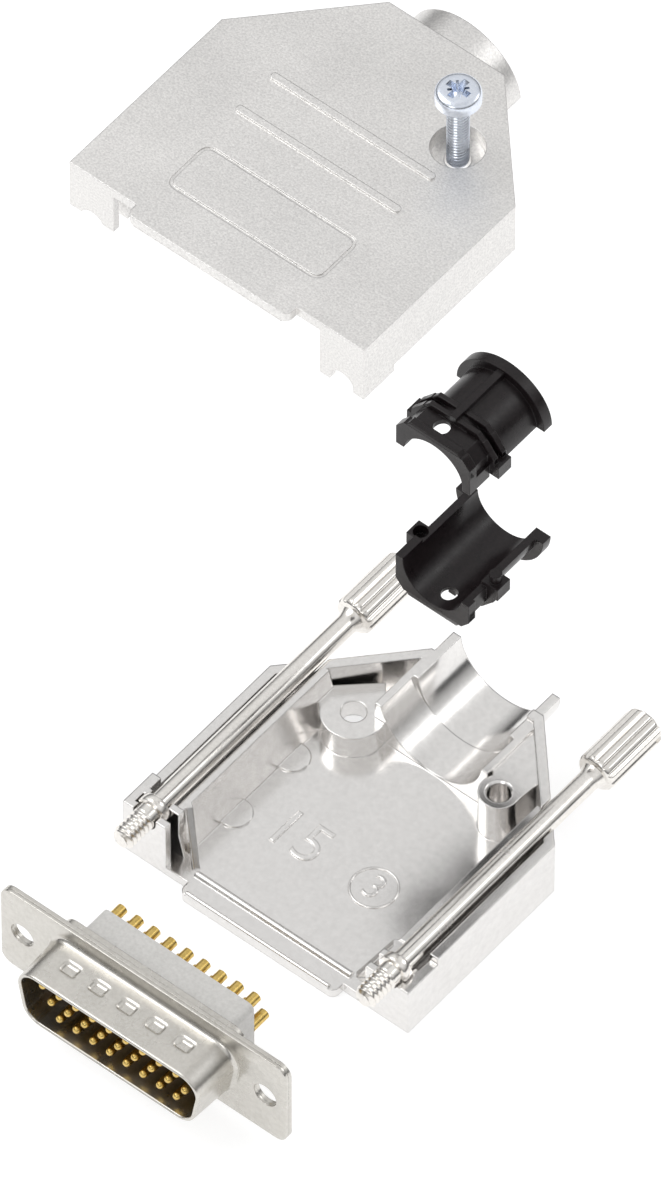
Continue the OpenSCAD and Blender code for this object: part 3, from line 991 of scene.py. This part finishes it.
@dataclass(frozen=True)
class LockPlate:
    """One plate across the clamp; its top and shoulder are measured away from the parting."""

    start: float
    depth: float
    half: float
    top: float
    shoulder: float


FRONT_ARCH = LockPlate(27.86 * MM, 1.05 * MM, 5.0 * MM, 2.05 * MM, 3.3 * MM)
LOCK_FINS = tuple(LockPlate(start, 0.66 * MM, 5.6 * MM, 1.62 * MM, 2.6 * MM)
                  for start in (31.17 * MM, 32.57 * MM))


@dataclass
class ClampHalf:
    """One half of the cable clamp: its solid, with the tall arch and the fins that lock it in the cradle."""

    body: str
    solid: bpy.types.Object
    material: bpy.types.Material
    lift: float
    turned: bool
    parting_z: float = 7.5 * MM
    bore_r: float = 4.02 * MM
    bore_steps: int = 36
    edge: float = 0.1 * MM
    crown: float = 5.2 * MM
    crown_half: float = 3.25 * MM

    def build(self) -> bpy.types.Object:
        """Dress the solid and add its plates.

        Returns:
            The plates, as one piece.
        """
        dress(self.solid, self.material)
        made = [self._plate(plate) for plate in (FRONT_ARCH, *LOCK_FINS)]
        piece = dress(join(made, f"{self.body}_plates"), self.material)
        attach(piece, self.body)
        return piece

    def _plate(self, size: LockPlate) -> bpy.types.Object:
        """One plate across the clamp, open over the cable's bore.

        Args:
            size: the plate's sizes.

        Returns:
            The plate, in place.
        """
        outline = [(-size.half, -size.top), (-size.half, -size.shoulder), (-self.crown_half, -self.crown),
                   (self.crown_half, -self.crown), (size.half, -size.shoulder), (size.half, -size.top)]
        open_at = math.degrees(math.asin(size.top / self.bore_r))
        outline += arc((0.0, 0.0), self.bore_r, -open_at, open_at - 180.0, self.bore_steps)
        if self.turned:
            outline = [(-x, -z) for x, z in outline]
        plate = plate_from_outlines([outline], size.depth, self.edge, f"{self.body}_plate")
        middle = size.start + size.depth / 2
        plate.data.transform(Matrix.Translation((0, middle, self.parting_z + self.lift)))
        return plate


@dataclass
class Connector:
    """The 26-way high-density plug: shells, insulators and contacts."""

    nodes: dict[str, bpy.types.Object]
    steel: bpy.types.Material
    gold: bpy.types.Material
    brown: bpy.types.Material
    pale: bpy.types.Material
    half_top: float = 12.62 * MM
    half_height: float = 4.18 * MM
    slant: float = 10.0
    corner: float = 2.7 * MM
    corner_steps: int = 14
    wall: float = 0.45 * MM
    wall_steps: int = 26
    taper: float = 0.22 * MM
    root_fillet: float = 0.55 * MM
    dimples: int = 5
    dimple_pitch: float = 3.9 * MM
    dimple_size: tuple[float, float] = (2.1 * MM, 1.6 * MM)
    dimple_slopes: tuple[float, float] = (3.4, 2.8)
    dimple_depth: float = 0.32 * MM
    dimple_place: float = 0.56
    long_side_share: float = 0.8
    hole_r: float = 1.525 * MM
    hole_x: float = 16.65 * MM
    hole_sides: int = 48
    plate: float = 0.45 * MM
    plate_edge: float = 0.06 * MM
    flange_corner: float = 1.5 * MM
    contact_pitch: float = 2.29 * MM
    row_pitch: float = 1.98 * MM
    row_counts: tuple[int, int, int] = (9, 9, 8)
    row_stagger: float = 0.25
    pin_r: float = 0.5 * MM
    pin_around: int = 20
    nose_len: float = 0.55 * MM
    nose_share: float = 0.3
    cup_len: float = 2.4 * MM
    cup_depth: float = 1.8 * MM
    cup_flare: float = 1.3
    around: int = 300
    middle: float = field(init=False)
    tip: float = field(init=False)
    back: float = field(init=False)
    flange_half: tuple[float, float] = field(init=False)

    def build(self) -> list[bpy.types.Object]:
        """Make the pressed shell and the contacts, and dress the solids that stay.

        Returns:
            The added pieces.
        """
        low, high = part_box("plug_front_shell")
        self.middle = (low.z + high.z) / 2
        self.tip, self.back = low.y, high.y
        self.flange_half = ((high.x - low.x) / 2, (high.z - low.z) / 2)
        dress(self.nodes["plug_rear_shell"], self.steel)
        dress(self.nodes["plug_front_insulator"], self.brown)
        dress(self.nodes["plug_rear_insulator"], self.pale)
        shell = self._shell()
        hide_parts("plug_front_shell")
        contacts = self._contacts()
        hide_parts(*sorted(n for n in self.nodes if n.startswith("contact_")))
        for piece in (shell, contacts):
            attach(piece, "connector")
        return [shell, contacts]

    def _d_outline(self, inset: float) -> Outline:
        """The D shell's outline, resampled to even steps.

        Args:
            inset: how far it is drawn in from the outside.

        Returns:
            The outline, anticlockwise about the origin.
        """
        r, steps = self.corner - inset, self.corner_steps
        top, z = self.half_top - self.corner, self.half_height - self.corner
        tilt = self.slant
        bottom = top - 2 * z * math.tan(math.radians(tilt))
        raw = (arc((bottom, -z), r, -90, -tilt, steps) + arc((top, z), r, -tilt, 90, steps)
               + arc((-top, z), r, 90, 180 + tilt, steps) + arc((-bottom, -z), r, 180 + tilt, 270, steps))
        return resample(raw, self.around)

    def _dimple(self, x: float, y: float, mid_y: float) -> float:
        """How deep the pressed dimples are.

        Args:
            x: place along the long side.
            y: place along the draw.
            mid_y: middle of the dimples along the draw.

        Returns:
            The share of the full depth, from 0 to 1.
        """
        deepest = 0.0
        for i in range(self.dimples):
            centre = (i - (self.dimples - 1) / 2) * self.dimple_pitch
            across = 1.0 - abs(x - centre) / (self.dimple_size[0] / 2)
            along = 1.0 - abs(y - mid_y) / (self.dimple_size[1] / 2)
            if across > 0 and along > 0:
                rise = min(1.0, across * self.dimple_slopes[0]) * min(1.0, along * self.dimple_slopes[1])
                deepest = max(deepest, rise * rise * (3 - 2 * rise))
        return deepest

    def _shell(self) -> bpy.types.Object:
        """The front shell: a flange with two holes and the drawn D wall with its rolled rim.

        Returns:
            The shell as one mesh.
        """
        front = self.back - self.plate
        tube = self._d_wall(front)
        outlines = [rounded_outline(*self.flange_half, self.flange_corner)]
        outlines += [circle((x, 0), self.hole_r, self.hole_sides) for x in (self.hole_x, -self.hole_x)]
        outlines.append(self._d_outline(self.wall * 0.5))
        flange = plate_from_outlines(outlines, self.plate, self.plate_edge, "flange_front")
        flange.data.transform(Matrix.Translation((0, front + self.plate / 2, self.middle)))
        return dress(join([flange, tube], "plug_shell_pressed"), self.steel)

    def _wall_profile(self, front: float) -> list[tuple[float, float]]:
        """The drawn wall's section, from its root fillet over the rolled rim and back inside.

        Args:
            front: place of the flange's front face along Y.

        Returns:
            Pairs of a place along Y and an inset from the D outline.
        """
        root, lip = self.root_fillet, self.wall * 0.5
        end = self.tip + lip
        profile = [(front + self.plate * 0.5, -root), (front, -root)]
        profile += [(front - root + root * math.cos(a), -root + root * math.sin(a))
                    for a in (math.radians(d) for d in range(15, 91, 15))]
        start = profile[-1][0]
        profile += [(start + (end - start) * i / self.wall_steps, self.taper * i / self.wall_steps)
                    for i in range(1, self.wall_steps + 1)]
        profile += [(end - lip * math.sin(a), self.taper + lip - lip * math.cos(a))
                    for a in (math.radians(d) for d in range(20, 181, 20))]
        profile.append((self.tip + (front - self.tip) * 0.5, self.taper * 0.5 + self.wall))
        profile.append((front + self.plate * 0.5, self.wall))
        return profile

    def _d_wall(self, front: float) -> bpy.types.Object:
        """The drawn wall, with the dimples pressed into its long upper side.

        Args:
            front: place of the flange's front face along Y.

        Returns:
            The wall as one mesh.
        """
        profile = self._wall_profile(front)
        mid_y = self.tip + (front - self.tip) * self.dimple_place
        verts, faces = [], []
        for y, inset in profile:
            outer = inset < self.taper + self.wall * 0.5
            for x, z in self._d_outline(inset):
                if outer and z > self.half_height * self.long_side_share:
                    z -= self.dimple_depth * self._dimple(x, y, mid_y)
                verts.append((x, y, self.middle + z))
        rings = len(profile)
        for i in range(rings):
            j = (i + 1) % rings
            for k in range(self.around):
                m = (k + 1) % self.around
                faces.append((i * self.around + k, i * self.around + m,
                              j * self.around + m, j * self.around + k))
        return mesh_from(verts, faces, "d_wall", 45.0)

    def _pin(self) -> bpy.types.Object:
        """One contact about the origin's Y axis, as the pattern that the rows repeat.

        Returns:
            The contact as one mesh.
        """
        low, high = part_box("contact_01")
        nose, tail = low.y, high.y
        cup, r, wide = tail - self.cup_len, self.pin_r, self.pin_r * self.cup_flare
        rings = [(nose + self.nose_len * (1 - math.cos(a)),
                  r * (self.nose_share + (1 - self.nose_share) * math.sin(a)))
                 for a in (math.radians(d) for d in (0, 22, 45, 68, 90))]
        rings += [(cup, r), (cup, wide), (tail, wide), (tail, r), (tail - self.cup_depth, r)]
        around = self.pin_around
        verts = []
        for y, radius in rings:
            for k in range(around):
                turn = 2 * math.pi * k / around
                verts.append((radius * math.cos(turn), y, radius * math.sin(turn)))
        faces = tube_faces(len(rings), around)
        faces += [tuple(range(around)), tuple(range((len(rings) - 1) * around, len(rings) * around))]
        return mesh_from(verts, faces, "contact_pattern", 40.0)

    def _contacts(self) -> bpy.types.Object:
        """All contacts, set out in three staggered rows by a node tree.

        Returns:
            The contacts as one mesh.
        """
        pattern = dress(self._pin(), self.gold)
        host = link(bpy.data.meshes.new("contact_rows"), "contact_rows")
        modifier = host.modifiers.new("rows", "NODES")
        modifier.node_group = self._row_tree()
        values = {"Pin": pattern, "Pitch": self.contact_pitch, "Row Pitch": self.row_pitch,
                  "Middle": self.middle, "Finish": self.gold}
        for item in modifier.node_group.interface.items_tree:
            if item.item_type == "SOCKET" and item.in_out == "INPUT" and item.name in values:
                modifier[item.identifier] = values[item.name]
        rows = bake_modifiers(host, 40.0)
        bpy.data.objects.remove(pattern)
        return dress(rows, self.gold)

    def _row_tree(self) -> bpy.types.NodeTree:
        """A tree that repeats one contact along the rows, each half a pitch beside the next.

        Returns:
            The node group.
        """
        bench = open_group(
            "contact_row_tree", "GeometryNodeTree",
            [("Pin", "NodeSocketObject", None), ("Pitch", "NodeSocketFloat", self.contact_pitch),
             ("Row Pitch", "NodeSocketFloat", self.row_pitch), ("Middle", "NodeSocketFloat", self.middle),
             ("Finish", "NodeSocketMaterial", None)],
            [("Geometry", "NodeSocketGeometry")])
        joined = bench.add("GeometryNodeJoinGeometry")
        for row, count in enumerate(self.row_counts):
            bench.wire(self._row_line(bench, row, count), joined.inputs[0])
        source = bench.add("GeometryNodeObjectInfo")
        bench.wire(bench.inlet["Pin"], source.inputs["Object"])
        copies = bench.add("GeometryNodeInstanceOnPoints")
        bench.wire(joined.outputs[0], copies.inputs["Points"])
        bench.wire(source.outputs["Geometry"], copies.inputs["Instance"])
        real = bench.add("GeometryNodeRealizeInstances")
        bench.wire(copies.outputs[0], real.inputs[0])
        coated = bench.add("GeometryNodeSetMaterial")
        bench.wire(real.outputs[0], coated.inputs["Geometry"])
        bench.wire(bench.inlet["Finish"], coated.inputs["Material"])
        bench.wire(coated.outputs[0], bench.outlet["Geometry"])
        return bench.tree

    def _row_line(self, bench: NodeBench, row: int, count: int) -> bpy.types.NodeSocket:
        """The line of points that one row of contacts stands on.

        Args:
            bench: the bench on the row tree.
            row: the row, counted from the top.
            count: its number of contacts.

        Returns:
            The socket that gives the points.
        """
        shift = -self.row_stagger if row == 0 else self.row_stagger
        start_x = bench.add("ShaderNodeMath", {"operation": "MULTIPLY"})
        start_x.inputs[1].default_value = shift - (count - 1) / 2
        bench.wire(bench.inlet["Pitch"], start_x.inputs[0])
        height = bench.add("ShaderNodeMath", {"operation": "MULTIPLY_ADD"})
        height.inputs[1].default_value = 1 - row
        bench.wire(bench.inlet["Row Pitch"], height.inputs[0])
        bench.wire(bench.inlet["Middle"], height.inputs[2])
        start = bench.add("ShaderNodeCombineXYZ")
        bench.wire(start_x.outputs[0], start.inputs["X"])
        bench.wire(height.outputs[0], start.inputs["Z"])
        step = bench.add("ShaderNodeCombineXYZ")
        bench.wire(bench.inlet["Pitch"], step.inputs["X"])
        line = bench.add("GeometryNodeMeshLine", {"mode": "OFFSET"}, Count=count)
        bench.wire(start.outputs[0], line.inputs["Start Location"])
        bench.wire(step.outputs[0], line.inputs["Offset"])
        return line.outputs[0]


# ---------- Studio ----------


@dataclass(frozen=True)
class Panel:
    """One square soft light: where it hangs, the point it looks at, its side and its power in watts."""

    name: str
    place: tuple[float, float, float]
    aim: tuple[float, float, float]
    size: float
    power: float


PANELS = (
    Panel("key_panel", (-0.28, -0.10, 0.52), (0, 0.02, 0.05), 0.34, 0.9),
    Panel("rim_panel", (0.30, 0.42, 0.40), (0, 0.02, 0.05), 0.22, 0.4),
    Panel("front_panel", (0.10, -0.45, 0.30), (0, 0.02, 0.03), 0.20, 0.25),
)
# Brightness of the surroundings between these heights on the unit sphere.
SKY_MIDDLE = ((0.14, 0.04), (0.28, 0.40), (0.45, 0.62), (0.62, 0.84), (0.88, 0.84))
SKY_LOW = (0.025, 0.025, 0.03)
SKY_TOP = 0.70


@dataclass
class Studio:
    """Pale floor, soft lights and the long-lens camera."""

    azimuth: float = 39.4
    elevation: float = 52.0
    lens: float = 700.0
    sensor: float = 36.0
    distance: float = 2.4823
    aim: tuple[float, float, float] = (7.30 * MM, 36.13 * MM, -2.18 * MM)
    floor_half: float = 3.0
    floor_drop: float = 0.02 * MM
    floor_grey: float = 0.45
    floor_glow: float = 0.72

    def build(self) -> None:
        """Make the floor, the surroundings, the lights and the camera."""
        self._world()
        self._floor()
        for panel in PANELS:
            self._light(panel)
        self._camera()
        settings = bpy.context.scene.view_settings
        settings.view_transform, settings.look = "Standard", "None"

    def _camera(self) -> None:
        """A long lens, far enough away to flatten the perspective."""
        a, e = math.radians(self.azimuth), math.radians(self.elevation)
        right = Vector((math.cos(a), math.sin(a), 0))
        up = Vector((-math.sin(a) * math.sin(e), math.cos(a) * math.sin(e), math.cos(e)))
        back = Vector((math.sin(a) * math.cos(e), -math.cos(a) * math.cos(e), math.sin(e)))
        target = right * self.aim[0] + up * self.aim[1] + back * self.aim[2]
        data = bpy.data.cameras.new("long_lens")
        data.lens, data.sensor_width = self.lens, self.sensor
        data.clip_start, data.clip_end = 0.1, 20.0
        camera = bpy.data.objects.new("long_lens", data)
        camera.location = target + back * self.distance
        camera.rotation_mode = "QUATERNION"
        camera.rotation_quaternion = (-back).to_track_quat("-Z", "Y")
        bpy.context.scene.collection.objects.link(camera)
        bpy.context.scene.camera = camera

    def _world(self) -> None:
        """Bright sky above a darker horizon, which gives the metal its dark lines."""
        world = bpy.data.worlds.new("surroundings")
        bpy.context.scene.world = world
        world.use_nodes = True
        world.node_tree.nodes.clear()
        bench = NodeBench(world.node_tree)
        place = bench.add("ShaderNodeTexCoord")
        parts = bench.add("ShaderNodeSeparateXYZ")
        bench.wire(place.outputs["Generated"], parts.inputs[0])
        ramp = bench.add("ShaderNodeValToRGB")
        stops = ramp.color_ramp.elements
        stops[0].position, stops[0].color = 0.0, (*SKY_LOW, 1)
        stops[1].position, stops[1].color = 1.0, (SKY_TOP, SKY_TOP, SKY_TOP, 1)
        for position, grey in SKY_MIDDLE:
            stop = stops.new(position)
            stop.color = (grey, grey, grey, 1)
        bench.wire(parts.outputs["Z"], ramp.inputs[0])
        sky = bench.add("ShaderNodeBackground", Strength=1.0)
        bench.wire(ramp.outputs[0], sky.inputs["Color"])
        result = bench.add("ShaderNodeOutputWorld")
        bench.wire(sky.outputs[0], result.inputs["Surface"])

    def _floor(self) -> None:
        """A wide pale floor just below the part."""
        half, drop = self.floor_half, self.floor_drop
        corners = [(x * half, y * half, -drop) for x, y in ((-1, -1), (1, -1), (1, 1), (-1, 1))]
        floor = mesh_from(corners, [(0, 1, 2, 3)], "floor")
        paper = bpy.data.materials.new("pale_paper")
        paper.use_nodes = True
        shader = paper.node_tree.nodes["Principled BSDF"]
        shader.inputs["Base Color"].default_value = (self.floor_grey, self.floor_grey, self.floor_grey, 1)
        shader.inputs["Roughness"].default_value = 0.9
        shader.inputs["Specular IOR Level"].default_value = 0.1
        shader.inputs["Emission Color"].default_value = (1, 1, 1, 1)
        shader.inputs["Emission Strength"].default_value = self.floor_glow
        dress(floor, paper)

    def _light(self, panel: Panel) -> None:
        """Hang one soft light.

        Args:
            panel: the light's place, aim, size and power.
        """
        data = bpy.data.lights.new(panel.name, "AREA")
        data.size, data.energy = panel.size, panel.power
        lamp = bpy.data.objects.new(panel.name, data)
        lamp.location = panel.place
        lamp.rotation_mode = "QUATERNION"
        lamp.rotation_quaternion = (Vector(panel.aim) - Vector(panel.place)).to_track_quat("-Z", "Y")
        bpy.context.scene.collection.objects.link(lamp)


def main() -> None:
    """Build the set, class by class, in the part's own frame."""
    logging.basicConfig(level=logging.INFO, format="%(name)s: %(message)s")
    for thing in list(bpy.data.objects):
        bpy.data.objects.remove(thing)
    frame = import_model()
    nodes = frame["nodes"]
    Studio().build()
    groups = SharedGroups()
    nickel, zinc, turned = (f.build(groups) for f in (BRIGHT_NICKEL, SATIN_ZINC, TURNED_NICKEL))
    made = Castings(nodes, nickel, zinc).build()
    made += [Thumbscrew(side, turned).build() for side in ("thumbscrew_left", "thumbscrew_right")]
    made.append(CoverScrew(BLUE_ZINC.build(groups)).build())
    plastic = BLACK_MOULDING.build(groups)
    for half, lift, turned_over in (("clamp_lower", 27 * MM, False), ("clamp_upper", 46 * MM, True)):
        made.append(ClampHalf(half, nodes[half], plastic, lift, turned_over).build())
    made += Connector(nodes, PRESSED_STEEL.build(groups), GOLD_PLATE.build(groups),
                      BROWN_INSULATOR.build(groups), PALE_INSULATOR.build(groups)).build()
    for piece in made:
        LOG.info("%s: %d faces", piece.name, len(piece.data.polygons))


if __name__ == "__main__":
    main()
